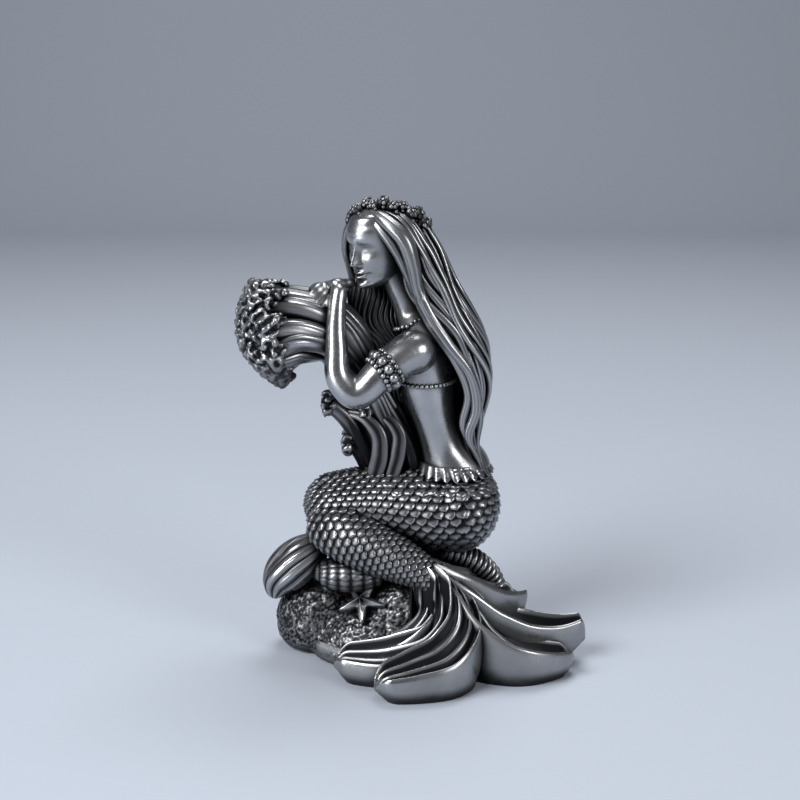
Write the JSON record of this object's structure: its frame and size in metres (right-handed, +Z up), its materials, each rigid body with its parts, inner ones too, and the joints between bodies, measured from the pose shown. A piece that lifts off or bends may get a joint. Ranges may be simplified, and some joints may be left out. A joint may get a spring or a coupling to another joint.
{
  "type": "mermaid figurine",
  "caption": "Cast table figurine of a mermaid kneeling on a rock, hugging a bouquet of tube coral, with a ribbed tail fin",
  "frame": {"origin": "centre of the underside of the overall box, on the ground", "axes": "Z up; the mermaid's face and the coral point along -X, her left side faces -Y and the tail fin spreads to +X and -Y"},
  "size_m": [0.0927, 0.0705, 0.1254],
  "materials": {
    "antique_silver": "antiqued silver: polished high places over a dark patina in the recesses"
  },
  "bodies": {
    "root": {"mermaid_figurine": "antique_silver"}
  },
  "joints": []
}
